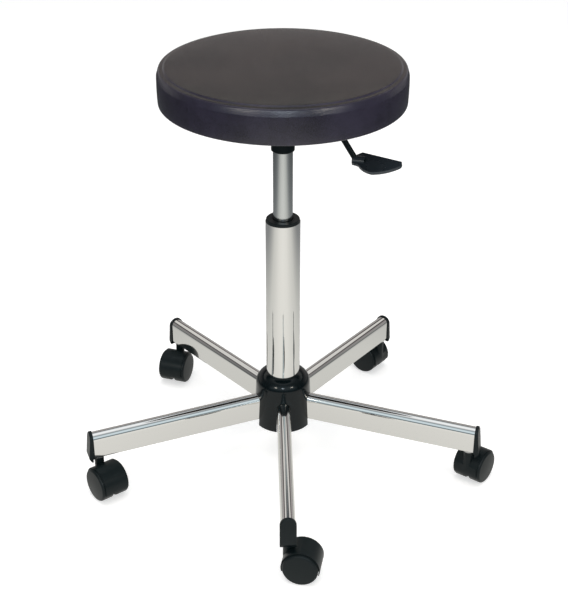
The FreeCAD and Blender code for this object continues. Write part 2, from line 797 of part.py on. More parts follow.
def make_caster(index):
    swivels = {"front": z.front_caster_swivel, "right": z.right_caster_swivel,
               "back_right": z.back_right_caster_swivel, "back_left": z.back_left_caster_swivel,
               "left": z.left_caster_swivel}
    turn = swivels[LEG_NAMES[index]]
    x, y = caster_spot(index)
    number = index + 1
    hood = make_hood("caster_hood_%d" % number)
    place(hood, x=x, y=y, yaw=turn)
    keep("caster_hood_%d" % number, hood)
    axle_x = x + z.caster_trail * cosine(turn)
    axle_y = y + z.caster_trail * sine(turn)
    axle_end = z.wheel_inner_face + z.wheel_bore_depth - z.stop_gap
    axle_corners = [(ZERO, -axle_end), (z.axle_radius, -axle_end), (z.axle_radius, axle_end), (ZERO, axle_end)]
    axle = turned("caster_axle_%d" % number, axle_corners)
    place(axle, x=axle_x, y=axle_y, height=axle_height, yaw=turn, roll=Size(90.0, "90"))
    keep("caster_axle_%d" % number, axle)
    for side, roll in (("a", Size(90.0, "90")), ("b", Size(-90.0, "-90"))):
        wheel = make_wheel("wheel_%d%s" % (number, side))
        place(wheel, x=axle_x, y=axle_y, height=axle_height, yaw=turn, roll=roll)
        keep("wheel_%d%s" % (number, side), wheel)


# seat mechanism: taper socket, pressed channel plate and its screws
def make_seat_plate():
    plate_top = plate_web + z.plate_thickness
    socket = [
        (z.tube_radius, taper_bottom),
        (z.taper_socket_radius - z.taper_socket_bevel, taper_bottom),
        (z.taper_socket_radius, taper_bottom + z.taper_socket_bevel),
        (z.taper_socket_radius, plate_top),
        (z.tube_radius - z.tube_cone_narrowing * (plate_top - taper_bottom)
         / (tube_top - taper_bottom), plate_top),
    ]
    keep("taper_socket", turned("taper_socket", socket))
    body = new_body("seat_plate")
    wide, side = z.plate_flange_half_width, z.channel_half_width
    inner = side - z.plate_thickness
    flange_bottom = z.seat_bottom - z.plate_thickness
    section = [(-wide, flange_bottom), (-side, flange_bottom), (-side, plate_web), (side, plate_web),
               (side, flange_bottom), (wide, flange_bottom), (wide, z.seat_bottom), (inner, z.seat_bottom),
               (inner, plate_top), (-inner, plate_top), (-inner, z.seat_bottom), (-wide, z.seat_bottom)]
    tight = z.plate_bend
    full = tight + z.plate_thickness
    bends = [None, tight, full, full, tight, None, None, full, tight, tight, full, None]
    pad(body, draw_outline(new_sketch(body, "plate_section", "YZ_Plane"), rounded(section, bends)),
        z.plate_half_length * 2, both_ways=True)
    hub_hole = draw_circle(new_sketch(body, "plate_hub_hole", "XY_Plane", plate_web), ZERO, ZERO, z.taper_socket_radius)
    pocket(body, hub_hole, z.plate_thickness)
    holes = new_sketch(body, "plate_screw_holes", "XY_Plane", flange_bottom)
    for tag, x, y in screw_spots():
        draw_circle(holes, x, y, z.screw_radius + z.screw_hole_clearance, tag)
    pocket(body, holes, z.plate_thickness)
    pin_hole = new_sketch(body, "plate_pivot_hole", "XZ_Plane")
    draw_circle(pin_hole, z.lever_pivot_reach, lever_height - z.lever_pivot_drop, z.pivot_pin_radius)
    pocket(body, pin_hole, z.channel_half_width * 3, both_ways=True)
    place(body, yaw=z.lever_azimuth)
    keep("seat_plate", body)


def screw_spots():
    spots = []
    for along in (-1, 1):
        for across in (-1, 1):
            tag = "_%s%s" % ("a" if along < 0 else "b", "l" if across < 0 else "r")
            spots.append((tag, z.screw_spacing_x / 2 * along, z.screw_spacing_y / 2 * across))
    return spots


def make_seat_screws():
    flange_bottom = z.seat_bottom - z.plate_thickness
    tip = z.seat_bottom + z.screw_bite
    corners = [(ZERO, flange_bottom - z.screw_head_height), (z.screw_head_radius, flange_bottom - z.screw_head_height),
               (z.screw_head_radius, flange_bottom), (z.screw_radius, flange_bottom), (z.screw_radius, tip), (ZERO, tip)]
    screws = []
    for tag, x, y in screw_spots():
        screw = turned("seat_screw" + tag, corners)
        turn = z.lever_azimuth
        place(screw, x=x * cosine(turn) - y * sine(turn), y=x * sine(turn) + y * cosine(turn))
        screws.append(screw)
    group("seat_screws", screws)


# lever: bent rod on a cross pin, with a moulded paddle
def make_lever():
    body = new_body("lever_rod")
    path = new_sketch(body, "lever_path", "XZ_Plane")
    knee_fall = lever_height - elbow_height
    knee_run = z.lever_elbow_reach - z.lever_knee_reach
    arm = square_root(knee_fall * knee_fall + knee_run * knee_run)
    # a bend's tangent length is its radius times the tangent of half its turn
    half_turn = knee_fall / (arm + knee_run)
    trim = z.lever_bend_radius * half_turn
    run_share = knee_run / arm * trim
    fall_share = knee_fall / arm * trim
    corners = [
        (-z.lever_tail, lever_height),
        (z.lever_knee_reach - trim, lever_height, z.lever_bend_radius, "left"),
        (z.lever_knee_reach + run_share, lever_height - fall_share),
        (z.lever_elbow_reach - run_share, elbow_height + fall_share, z.lever_bend_radius, "right"),
        (z.lever_elbow_reach + trim, elbow_height),
        (z.lever_end_reach, elbow_height),
    ]
    draw_outline(path, corners, closed=False)
    section = new_sketch(body, "lever_section", "YZ_Plane", -z.lever_tail)
    draw_circle(section, ZERO, lever_height, z.lever_radius)
    doc.recompute()
    pipe = body.newObject("PartDesign::AdditivePipe", "lever_pipe")
    pipe.Profile = section
    pipe.Spine = (path, ["Edge%d" % (number + 1) for number in range(len(corners) - 1)])
    pivot_height = lever_height - z.lever_pivot_drop
    boss = new_sketch(body, "lever_boss", "XZ_Plane")
    draw_circle(boss, z.lever_pivot_reach, pivot_height, z.lever_boss_radius)
    pad(body, boss, z.lever_boss_half_width * 2, both_ways=True)
    bore = new_sketch(body, "lever_bore", "XZ_Plane")
    draw_circle(bore, z.lever_pivot_reach, pivot_height, z.pivot_pin_radius + z.pivot_pin_clearance)
    pocket(body, bore, z.lever_boss_half_width * 3, both_ways=True)
    place(body, yaw=z.lever_azimuth)
    keep("lever_rod", body)
    pin_half = z.channel_half_width + z.plate_thickness
    pin_corners = [(ZERO, -pin_half), (z.pivot_pin_radius, -pin_half), (z.pivot_pin_radius, pin_half), (ZERO, pin_half)]
    pin = turned("lever_pivot_pin", pin_corners)
    turn = z.lever_azimuth
    place(pin, x=z.lever_pivot_reach * cosine(turn), y=z.lever_pivot_reach * sine(turn), height=pivot_height,
          yaw=turn, roll=Size(90.0, "90"))
    keep("lever_pivot_pin", pin)
    return body


def shrunk_arc(corner, share):
    return (corner[2] * share, corner[3]) if len(corner) == 4 else ()


def make_paddle(rod):
    body = new_body("paddle_moulding")
    blade = new_sketch(body, "paddle_blade", "XY_Plane")
    tip = z.paddle_tip_half_width
    boss = z.paddle_boss_radius
    corners = [
        (-z.paddle_boss_overhang, -boss),
        (z.paddle_near_root_reach, -z.paddle_near_root, z.paddle_belly_round, "right"),
        (z.paddle_belly_reach, -z.paddle_belly, z.paddle_tip_round, "right"),
        (z.paddle_length, -tip, tip * 2, "right"),
        (z.paddle_length, tip),
        (z.paddle_far_root_reach, z.paddle_far_root),
        (-z.paddle_boss_overhang, boss),
    ]
    draw_outline(blade, corners)
    pad(body, blade, z.paddle_thickness, both_ways=True)
    share, middle = z.paddle_recess_share, z.paddle_recess_middle
    inner = [(middle + (corner[0] - middle) * share, corner[1] * share) + shrunk_arc(corner, share)
             for corner in corners]
    recess = draw_outline(new_sketch(body, "paddle_recess", "XY_Plane", z.paddle_thickness / 2), inner)
    pocket(body, recess, z.paddle_recess_depth, backwards=True)
    root = new_sketch(body, "paddle_boss", "YZ_Plane", -z.paddle_boss_overhang)
    draw_circle(root, ZERO, ZERO, boss)
    pad(body, root, z.paddle_boss_length)
    turn = z.lever_azimuth
    place(body, x=z.paddle_reach * cosine(turn), y=z.paddle_reach * sine(turn), height=elbow_height,
          yaw=turn, pitch=-z.paddle_rise, roll=z.paddle_roll)
    paddle = doc.addObject("Part::Cut", "lever_paddle")
    paddle.Base = body
    paddle.Tool = rod
    keep("lever_paddle", paddle)


def flat_arc(run, rise):
    """The radius of an arc that leaves a straight line and falls by rise over run."""
    return (run * run + rise * rise) / (rise * 2)


# seat: board let into the underside of the moulded cushion
def make_seat():
    board_top = z.seat_bottom + z.board_thickness
    board = [(ZERO, z.seat_bottom), (board_radius, z.seat_bottom), (board_radius, board_top), (ZERO, board_top)]
    body = turned("seat_board", board)
    holes = new_sketch(body, "board_screw_holes", "XY_Plane", z.seat_bottom)
    for tag, x, y in screw_spots():
        draw_circle(holes, x, y, z.screw_radius, tag)
    pocket(body, holes, z.screw_bite)
    place(body, yaw=z.lever_azimuth)
    keep("seat_board", body)
    foot_radius = z.seat_radius - z.seat_bottom_narrowing
    side_radius = z.seat_radius - z.seat_top_narrowing
    dome_radius = side_radius - z.seat_top_round
    rim = z.seat_bottom + z.seat_height
    middle = z.seat_bottom + z.seat_height / 2
    side_top = rim - z.seat_top_round
    cushion = [
        (ZERO, board_top),
        (board_radius, board_top),
        (board_radius, z.seat_bottom),
        (foot_radius - z.seat_bottom_round, z.seat_bottom, z.seat_bottom_round, "right"),
        (foot_radius, z.seat_bottom + z.seat_bottom_round,
         flat_arc(z.seat_height / 2 - z.seat_bottom_round, z.seat_bottom_narrowing), "right"),
        (z.seat_radius, middle, flat_arc(side_top - middle, z.seat_top_narrowing), "right"),
        (side_radius, side_top, z.seat_top_round, "right"),
        (dome_radius, rim, flat_arc(dome_radius - z.seat_flat_radius, z.seat_crown), "right"),
        (z.seat_flat_radius, rim + z.seat_crown),
        (ZERO, rim + z.seat_crown),
    ]
    keep("seat_cushion", turned("seat_cushion", cushion))


def main():
    make_column()
    make_rod()
    make_pressure_tube()
    make_hub()
    for index in range(len(LEG_NAMES)):
        make_leg(index)
        make_end_cap(index)
        make_caster(index)
    make_caster_mounts()
    make_seat_plate()
    make_seat_screws()
    rod = make_lever()
    make_paddle(rod)
    make_seat()
    doc.recompute()
    for item in doc.Objects:
        if "Invalid" in item.State or "Error" in item.State:
            raise RuntimeError("%s is %s" % (item.Name, item.State))
    for node, piece in parts.items():
        if piece.Shape.isNull() or not piece.Shape.isValid() or not piece.Shape.Solids:
            raise RuntimeError("%s has no sound shape" % node)
    os.makedirs("parts", exist_ok=True)
    for node, piece in parts.items():
        piece.Shape.exportStep("parts/%s.step" % node)
    print("%d parts written" % len(parts))


main()
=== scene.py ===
import json
import math

import bmesh
import bpy
from bpy.props import FloatProperty, FloatVectorProperty, IntProperty, PointerProperty
from mathutils import Matrix, Vector


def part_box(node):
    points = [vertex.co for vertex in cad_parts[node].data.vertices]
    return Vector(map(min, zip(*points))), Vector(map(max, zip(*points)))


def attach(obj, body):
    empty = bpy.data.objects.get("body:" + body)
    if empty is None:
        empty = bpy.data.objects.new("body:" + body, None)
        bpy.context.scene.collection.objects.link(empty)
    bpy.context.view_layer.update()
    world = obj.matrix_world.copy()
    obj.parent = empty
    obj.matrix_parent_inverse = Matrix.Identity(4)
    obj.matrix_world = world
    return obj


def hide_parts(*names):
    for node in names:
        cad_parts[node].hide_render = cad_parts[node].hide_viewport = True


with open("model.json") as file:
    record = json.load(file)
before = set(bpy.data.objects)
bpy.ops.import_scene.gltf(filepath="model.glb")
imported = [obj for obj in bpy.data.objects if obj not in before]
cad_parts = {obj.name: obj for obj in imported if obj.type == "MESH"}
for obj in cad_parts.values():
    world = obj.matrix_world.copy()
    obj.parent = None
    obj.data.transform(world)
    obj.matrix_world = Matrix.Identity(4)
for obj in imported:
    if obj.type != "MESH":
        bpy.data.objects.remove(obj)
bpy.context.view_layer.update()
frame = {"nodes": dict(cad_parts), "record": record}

bl_info = {
    "name": "Machinist stool",
    "version": (1, 0, 0),
    "blender": (4, 5, 0),
    "location": "3D View > Sidebar > Stool",
    "description": "Dresses the stool's frame with its padded seat, mouldings, casters and plated tubes",
    "category": "Object",
}

MM = 0.001
JOINTS = {joint["name"]: joint for joint in frame["record"]["behaviour"]["joints"]}
CORNERS = (1, 2, 3, 4, 5)
SIDES = ("a", "b")

# The material that dresses each of the record's slots.
FINISH_NAMES = {
    "chrome": "bright_chrome", "satin_tube": "satin_steel", "gloss_black": "gloss_shroud",
    "black_moulding": "black_caps", "black_caster": "black_hoods", "black_wheel": "black_wheels",
    "black_steel": "black_paint", "plain_steel": "plain_steel", "brass_cage": "brass", "rubber": "black_rubber",
    "nylon": "natural_nylon", "plywood": "stained_plywood", "vinyl": "seat_skin"}

# The seat's edge, from its side to its top: millimetres in from the widest place, millimetres above the rim, rounding.
SEAT_EDGE = ((0.6, -12.4, 2.0), (3.4, -2.9, 2.4), (9.4, -2.3, 0.7), (11.2, -0.3, 1.1), (20.0, 0.35, 3.0))

# The photo's camera, fitted to the leg tips, the seat and the casters.
CAMERA_PLACE = (0.0001, -1.66391, 1.18748)
CAMERA_TILT = math.radians(61.095)
CAMERA_TURN = math.radians(-0.048)
CAMERA_LENS = 77.669
CAMERA_SENSOR = 36.0

# The studio, in metres. It is brightest on the paper in front of the stool.
FLOOR_RADIUS = 6.0
ROOM_RADIUS = 5.0
PAPER_AHEAD = 0.7
PAPER_REACH = 3.0
HUB_SHADE = (0.05, 0.32)  # radii between which the stool's shade on the paper ends
HUB_SHADE_LEFT = 0.85
FRONT_WALL = (-2.0, -3.2)  # Y between which the room's sides turn into its walls
BACK_WALL = (0.5, 2.2)
CEILING = (0.88, 0.95)
CEILING_STRENGTH = 1.3
LAMP_AIM = (0.0, 0.0, 0.3)
SOFT_BOX = (0.55, 0.5)
WARM = (1.0, 0.93, 0.82)

# What the plating and the seat mirror, as (place, colour). A place is the distance on the paper as a share of
# PAPER_REACH, or the height in the room as a share of ROOM_RADIUS.
PAPER_SHADES = (
    (0.0, (1.0, 0.99, 0.95)), (0.15, (0.95, 0.94, 0.90)), (0.34, (0.74, 0.74, 0.71)),
    (0.50, (0.30, 0.31, 0.315)), (0.70, (0.12, 0.13, 0.135)), (0.95, (0.06, 0.062, 0.065)))
BACK_SHADES = (
    (0.0, (0.55, 0.55, 0.53)), (0.34, (0.40, 0.37, 0.37)), (0.405, (0.30, 0.265, 0.28)),
    (0.43, (0.26, 0.23, 0.23)), (0.46, (0.11, 0.10, 0.10)), (0.48, (0.03, 0.03, 0.033)),
    (0.53, (0.03, 0.03, 0.033)), (0.56, (0.85, 0.83, 0.80)), (0.66, (0.80, 0.79, 0.78)),
    (0.71, (0.04, 0.042, 0.046)), (0.80, (0.04, 0.042, 0.046)), (0.87, (0.50, 0.53, 0.56)),
    (1.0, (0.90, 0.93, 0.96)))
FRONT_SHADES = (
    (0.0, (0.12, 0.16, 0.18)), (0.2, (0.26, 0.33, 0.37)), (0.36, (0.80, 0.93, 1.0)), (0.62, (0.80, 0.93, 1.0)),
    (0.8, (0.34, 0.42, 0.47)), (1.0, (0.90, 0.93, 0.96)))
ASIDE_SHADES = (
    (0.0, (0.07, 0.08, 0.085)), (0.6, (0.16, 0.17, 0.175)), (0.85, (0.30, 0.31, 0.32)), (1.0, (0.90, 0.93, 0.96)))


def box_size(node):
    low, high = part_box(node)
    return Vector(high) - Vector(low)


# ---- sizes and colours that a user would change


class StoolSizes(bpy.types.PropertyGroup):
    seat_radius: FloatProperty(
        name="Seat radius", description="Half the seat's width across its bulge",
        default=box_size("seat_cushion").x / 2, unit="LENGTH", subtype="DISTANCE")
    seat_crown: FloatProperty(
        name="Seat crown", description="How far the seat's top rises from its rim to its flat middle",
        default=2.6 * MM, unit="LENGTH", subtype="DISTANCE")
    wheel_edge: FloatProperty(
        name="Wheel edge", description="Rounding of a wheel's outer edge",
        default=3.0 * MM, unit="LENGTH", subtype="DISTANCE")
    moulding_edge: FloatProperty(
        name="Moulding edge", description="Rounding of the sharp edges of the moulded pieces",
        default=0.4 * MM, unit="LENGTH", subtype="DISTANCE")
    round_steps: IntProperty(
        name="Round steps", description="Steps in a full turn of a round piece", default=96, min=24)


class StoolFinish(bpy.types.PropertyGroup):
    chrome: FloatVectorProperty(
        name="Chrome", description="Colour of the bright plating", default=(0.74, 0.735, 0.715), subtype="COLOR")
    chrome_polish: FloatProperty(
        name="Chrome roughness", description="Roughness of clean plating", default=0.035, subtype="FACTOR")
    satin: FloatVectorProperty(
        name="Satin tube", description="Colour of the ground inner tube", default=(0.56, 0.58, 0.575),
        subtype="COLOR")
    # The seat's two skin colours carry painted light: the top's is made warmer and lighter, as if lit from above, and
    # the side's bluish, as if lit by a cool lamp in front.
    seat: FloatVectorProperty(
        name="Seat skin", description="Colour of the seat's moulded skin", default=(0.0105, 0.0094, 0.0094),
        subtype="COLOR")
    seat_side_painted_light: FloatVectorProperty(
        name="Seat side", description="Colour of the skin where nobody sits on it",
        default=(0.0195, 0.0172, 0.0305), subtype="COLOR")
    seat_grain: FloatProperty(
        name="Seat grain", description="Width of one cell of the skin's grain", default=1.3 * MM,
        unit="LENGTH", subtype="DISTANCE")
    black: FloatVectorProperty(
        name="Black moulding", description="Colour of caps, hoods and wheels", default=(0.0048, 0.0092, 0.0104),
        subtype="COLOR")
    # Painted light: the paddle is coloured lighter and bluer than black plastic, a painted bluish sheen that also
    # lifts it out of the seat's shade.
    paddle: FloatVectorProperty(
        name="Paddle", description="Colour of the release lever's paddle", default=(0.021, 0.029, 0.037),
        subtype="COLOR")
    gloss: FloatVectorProperty(
        name="Gloss shroud", description="Colour of the hub's glossy cover", default=(0.0022, 0.0056, 0.0068),
        subtype="COLOR")


# ---- node helpers


def new_group(name, inputs, outputs):
    group = bpy.data.node_groups.new(name, "ShaderNodeTree")
    for label, kind, value in inputs:
        socket = group.interface.new_socket(label, in_out="INPUT", socket_type=kind)
        if value is not None:
            socket.default_value = value
    for label, kind in outputs:
        group.interface.new_socket(label, in_out="OUTPUT", socket_type=kind)
    return group, group.nodes.new("NodeGroupInput"), group.nodes.new("NodeGroupOutput")


def add(tree, kind, **values):
    """A new node. Names in values are its settings, or the labels of its inputs with _ for a space."""
    node = tree.nodes.new(kind)
    for name, value in values.items():
        label = name.replace("_", " ")
        if label in node.inputs.keys():
            set_input(tree, node.inputs[label], value)
        else:
            setattr(node, name, value)
    return node


def set_input(tree, socket, value):
    if isinstance(value, bpy.types.NodeSocket):
        tree.links.new(value, socket)
    else:
        socket.default_value = value


def maths(tree, operation, first, second=None, clamp=False):
    node = tree.nodes.new("ShaderNodeMath")
    node.operation = operation
    node.use_clamp = clamp
    set_input(tree, node.inputs[0], first)
    if second is not None:
        set_input(tree, node.inputs[1], second)
    return node.outputs[0]


def spread(tree, value, low, high, to_low, to_high):
    """Maps value from low..high to to_low..to_high, held at both ends."""
    node = tree.nodes.new("ShaderNodeMapRange")
    for name, item in (("Value", value), ("From Min", low), ("From Max", high), ("To Min", to_low),
                       ("To Max", to_high)):
        set_input(tree, node.inputs[name], item)
    return node.outputs["Result"]


def object_place(tree):
    return tree.nodes.new("ShaderNodeTexCoord").outputs["Object"]


def stretched(tree, scale):
    node = add(tree, "ShaderNodeMapping")
    node.inputs["Scale"].default_value = scale
    tree.links.new(object_place(tree), node.inputs["Vector"])
    return node.outputs["Vector"]


def smudge_group():
    """Patches of slightly rougher surface, as on handled plating or plastic."""
    group, given, result = new_group(
        "handling_smudges",
        [("Scale", "NodeSocketFloat", 14.0), ("Clean", "NodeSocketFloat", 0.1), ("Smudged", "NodeSocketFloat", 0.2)],
        [("Roughness", "NodeSocketFloat")])
    noise = add(group, "ShaderNodeTexNoise", Vector=object_place(group), Scale=given.outputs["Scale"], Detail=4.0,
                Roughness=0.6)
    value = spread(group, noise.outputs["Fac"], 0.35, 0.72, given.outputs["Clean"], given.outputs["Smudged"])
    group.links.new(value, result.inputs["Roughness"])
    return group


def grain_group():
    """Moulded or leather-like grain: cells of the given width, broken up by a finer noise."""
    group, given, result = new_group(
        "moulded_grain",
        [("Width", "NodeSocketFloat", 0.001), ("Break up", "NodeSocketFloat", 0.5)],
        [("Height", "NodeSocketFloat"), ("Shade", "NodeSocketFloat")])
    place = object_place(group)
    scale = maths(group, "DIVIDE", 1.0, given.outputs["Width"])
    cells = add(group, "ShaderNodeTexVoronoi", feature="SMOOTH_F1", Vector=place, Scale=scale, Smoothness=0.6)
    fine = add(group, "ShaderNodeTexNoise", Vector=place, Scale=maths(group, "MULTIPLY", scale, 1.9), Detail=3.0)
    broken = maths(group, "MULTIPLY", fine.outputs["Fac"], given.outputs["Break up"])
    height = maths(group, "SUBTRACT", broken, cells.outputs["Distance"])
    group.links.new(height, result.inputs["Height"])
    patch = add(group, "ShaderNodeTexNoise", Vector=place, Scale=9.0, Detail=5.0, Roughness=0.65)
    shade = maths(group, "ADD", maths(group, "MULTIPLY", fine.outputs["Fac"], 0.45),
                  maths(group, "MULTIPLY", patch.outputs["Fac"], 0.55))
    group.links.new(shade, result.inputs["Shade"])
    return group


def dust_group():
    """Fine dust that lies on faces that look up, and a few loose specks."""
    group, given, result = new_group(
        "settled_dust",
        [("Amount", "NodeSocketFloat", 0.2), ("Speck size", "NodeSocketFloat", 0.0009)],
        [("Mask", "NodeSocketFloat")])
    place = object_place(group)
    normal = group.nodes.new("ShaderNodeNewGeometry").outputs["Normal"]
    split = group.nodes.new("ShaderNodeSeparateXYZ")
    group.links.new(normal, split.inputs[0])
    upward = spread(group, split.outputs["Z"], 0.3, 1.0, 0.0, 1.0)
    cloud = add(group, "ShaderNodeTexNoise", Vector=place, Scale=26.0, Detail=6.0, Roughness=0.7)
    film = spread(group, cloud.outputs["Fac"], 0.45, 0.8, 0.0, given.outputs["Amount"])
    spots = add(group, "ShaderNodeTexVoronoi", feature="F1", Vector=place, Scale=55.0, Randomness=1.0)
    reach = maths(group, "MULTIPLY", given.outputs["Speck size"], 55.0)
    speck = maths(group, "LESS_THAN", spots.outputs["Distance"], reach)
    split_colour = group.nodes.new("ShaderNodeSeparateColor")
    group.links.new(spots.outputs["Color"], split_colour.inputs[0])
    chosen = maths(group, "GREATER_THAN", split_colour.outputs["Red"], 0.82)
    specks = maths(group, "MULTIPLY", maths(group, "MULTIPLY", speck, chosen), 0.2)
    mask = maths(group, "MULTIPLY", maths(group, "ADD", film, specks), upward, clamp=True)
    group.links.new(mask, result.inputs["Mask"])
    return group


def wear_group():
    """Worn convex edges, broken up by noise."""
    group, given, result = new_group(
        "edge_wear", [("Start", "NodeSocketFloat", 0.53), ("Full", "NodeSocketFloat", 0.62)],
        [("Mask", "NodeSocketFloat")])
    point = group.nodes.new("ShaderNodeNewGeometry").outputs["Pointiness"]
    edge = spread(group, point, given.outputs["Start"], given.outputs["Full"], 0.0, 1.0)
    noise = add(group, "ShaderNodeTexNoise", Vector=object_place(group), Scale=140.0, Detail=4.0)
    broken = spread(group, noise.outputs["Fac"], 0.4, 0.65, 0.0, 1.0)
    group.links.new(maths(group, "MULTIPLY", edge, broken), result.inputs["Mask"])
    return group


def brushed_group():
    """Fine marks round a turned or ground piece, stretched by the given scales."""
    group, given, result = new_group(
        "ground_marks", [("Scale", "NodeSocketVector", (40.0, 40.0, 900.0))],
        [("Marks", "NodeSocketFloat")])
    product = group.nodes.new("ShaderNodeVectorMath")
    product.operation = "MULTIPLY"
    group.links.new(object_place(group), product.inputs[0])
    group.links.new(given.outputs["Scale"], product.inputs[1])
    noise = add(group, "ShaderNodeTexNoise", Vector=product.outputs[0], Scale=1.0, Detail=3.0)
    group.links.new(noise.outputs["Fac"], result.inputs["Marks"])
    return group


def use_group(tree, name, **values):
    node = tree.nodes.new("ShaderNodeGroup")
    node.node_tree = bpy.data.node_groups[name]
    for label, value in values.items():
        set_input(tree, node.inputs[label.replace("_", " ")], value)
    return node


def new_finish(name, colour, roughness, metallic=0.0):
    """A material with its Principled shader, set to plain values."""
    material = bpy.data.materials.new(name)
    material.use_nodes = True
    tree = material.node_tree
    shader = tree.nodes["Principled BSDF"]
    shader.inputs["Base Color"].default_value = tuple(colour) + (1.0,)
    shader.inputs["Roughness"].default_value = roughness
    shader.inputs["Metallic"].default_value = metallic
    return material, tree, shader


def mix_colour(tree, factor, first, second):
    node = tree.nodes.new("ShaderNodeMix")
    node.data_type = "RGBA"
    set_input(tree, node.inputs[0], factor)
    set_input(tree, node.inputs[6], first if isinstance(first, bpy.types.NodeSocket) else tuple(first) + (1.0,))
    set_input(tree, node.inputs[7], second if isinstance(second, bpy.types.NodeSocket) else tuple(second) + (1.0,))
    return node.outputs[2]


def shade_ramp(tree, factor, stops):
    """A colour that runs through the given (place, colour) stops."""
    node = tree.nodes.new("ShaderNodeValToRGB")
    while len(node.color_ramp.elements) < len(stops):
        node.color_ramp.elements.new(0.5)
    for item, (place, colour) in zip(node.color_ramp.elements, stops):
        item.position = place
        item.color = tuple(colour) + (1.0,)
    tree.links.new(factor, node.inputs["Fac"])
    return node.outputs["Color"]


def bump(tree, shader, height, distance, strength=1.0):
    node = add(tree, "ShaderNodeBump", Height=height, Distance=distance, Strength=strength)
    tree.links.new(node.outputs["Normal"], shader.inputs["Normal"])


# ---- finishes


def chrome_finish(look):
    material, tree, shader = new_finish("bright_chrome", look.chrome, look.chrome_polish, 1.0)
    smudge = use_group(tree, "handling_smudges", Scale=11.0, Clean=look.chrome_polish,
                       Smudged=look.chrome_polish * 2.6)
    tree.links.new(smudge.outputs["Roughness"], shader.inputs["Roughness"])
    wave = add(tree, "ShaderNodeTexNoise", Vector=object_place(tree), Scale=16.0, Detail=1.0)
    bump(tree, shader, wave.outputs["Fac"], 0.00003)
    return material


def satin_finish(look):
    material, tree, shader = new_finish("satin_steel", look.satin, 0.27, 1.0)
    marks = use_group(tree, "ground_marks", Scale=(30.0, 30.0, 2600.0)).outputs["Marks"]
    rough = spread(tree, marks, 0.3, 0.7, 0.14, 0.19)
    tree.links.new(rough, shader.inputs["Roughness"])
    shade = mix_colour(tree, marks, [part * 0.96 for part in look.satin], [part * 1.04 for part in look.satin])
    tree.links.new(shade, shader.inputs["Base Color"])
    bump(tree, shader, marks, 0.000002)
    return material


def moulded_finish(name, colour, clean, smudged, grain_width, dust=0.02, shine=0.2):
    """Black moulded plastic with its fine grain, handled patches and a little dust."""
    material, tree, shader = new_finish(name, colour, clean)
    smudge = use_group(tree, "handling_smudges", Scale=18.0, Clean=clean, Smudged=smudged)
    tree.links.new(smudge.outputs["Roughness"], shader.inputs["Roughness"])
    mask = use_group(tree, "settled_dust", Amount=dust).outputs["Mask"]
    wear = use_group(tree, "edge_wear").outputs["Mask"]
    wear_and_painted_top_light = mix_colour(tree, maths(tree, "MULTIPLY", wear, 0.35), colour, [part * 3.0 + 0.01 for part in colour])
    tree.links.new(mix_colour(tree, mask, wear_and_painted_top_light, (0.10, 0.095, 0.09)), shader.inputs["Base Color"])
    grain = use_group(tree, "moulded_grain", Width=grain_width).outputs["Height"]
    bump(tree, shader, grain, grain_width * 0.02)
    shader.inputs["Specular IOR Level"].default_value = shine
    return material


def seat_finish(look):
    material, tree, shader = new_finish("seat_skin", look.seat, 0.5)
    grain = use_group(tree, "moulded_grain", Width=look.seat_grain, Break_up=0.7)
    shade = spread(tree, grain.outputs["Shade"], 0.40, 0.60, 0.0, 1.0)
    # Painted light: the top's colour runs warmer and lighter, as if lit warm from above, through the grain's random
    # mottle.
    wear_and_painted_top_light = mix_colour(tree, shade, [part * 0.3 for part in look.seat],
                      [part * scale for part, scale in zip(look.seat, (2.3, 1.9, 1.8))])
    # Painted light: the side's colour is bluish, as if lit by a cool lamp in front, through the same mottle.
    painted_side_light = mix_colour(tree, shade, [part * 0.5 for part in look.seat_side_painted_light],
                       [part * 1.6 for part in look.seat_side_painted_light])
    # Faces that look up take the painted top light, and the others take the painted side light.
    facing = tree.nodes.new("ShaderNodeSeparateXYZ")
    tree.links.new(tree.nodes.new("ShaderNodeNewGeometry").outputs["Normal"], facing.inputs[0])
    skin = mix_colour(tree, spread(tree, facing.outputs["Z"], 0.8, 0.97, 0.0, 1.0), painted_side_light, wear_and_painted_top_light)
    mask = use_group(tree, "settled_dust", Amount=0.03, Speck_size=0.0009).outputs["Mask"]
    tree.links.new(mix_colour(tree, mask, skin, (0.30, 0.29, 0.27)), shader.inputs["Base Color"])
    smudge = use_group(tree, "handling_smudges", Scale=9.0, Clean=0.17, Smudged=0.24)
    tree.links.new(smudge.outputs["Roughness"], shader.inputs["Roughness"])
    bump(tree, shader, grain.outputs["Height"], 0.00013)
    shader.inputs["Specular IOR Level"].default_value = 0.5
    return material


def painted_finish(look):
    material, tree, shader = new_finish("black_paint", look.black, 0.3)
    wear = use_group(tree, "edge_wear", Start=0.62, Full=0.74).outputs["Mask"]
    tree.links.new(mix_colour(tree, wear, look.black, (0.25, 0.24, 0.23)), shader.inputs["Base Color"])
    tree.links.new(maths(tree, "MULTIPLY", wear, 0.9), shader.inputs["Metallic"])
    peel = add(tree, "ShaderNodeTexNoise", Vector=object_place(tree), Scale=420.0, Detail=2.0)
    bump(tree, shader, peel.outputs["Fac"], 0.00004)
    smudge = use_group(tree, "handling_smudges", Scale=20.0, Clean=0.26, Smudged=0.4)
    tree.links.new(smudge.outputs["Roughness"], shader.inputs["Roughness"])
    shader.inputs["Specular IOR Level"].default_value = 0.07
    return material


def machined_finish(name, colour, roughness, metallic=1.0):
    material, tree, shader = new_finish(name, colour, roughness, metallic)
    marks = use_group(tree, "ground_marks", Scale=(120.0, 120.0, 1600.0)).outputs["Marks"]
    tree.links.new(spread(tree, marks, 0.3, 0.7, roughness * 0.75, roughness * 1.3), shader.inputs["Roughness"])
    shade = mix_colour(tree, marks, [part * 0.85 for part in colour], [part * 1.1 for part in colour])
    tree.links.new(shade, shader.inputs["Base Color"])
    bump(tree, shader, marks, 0.00001)
    return material


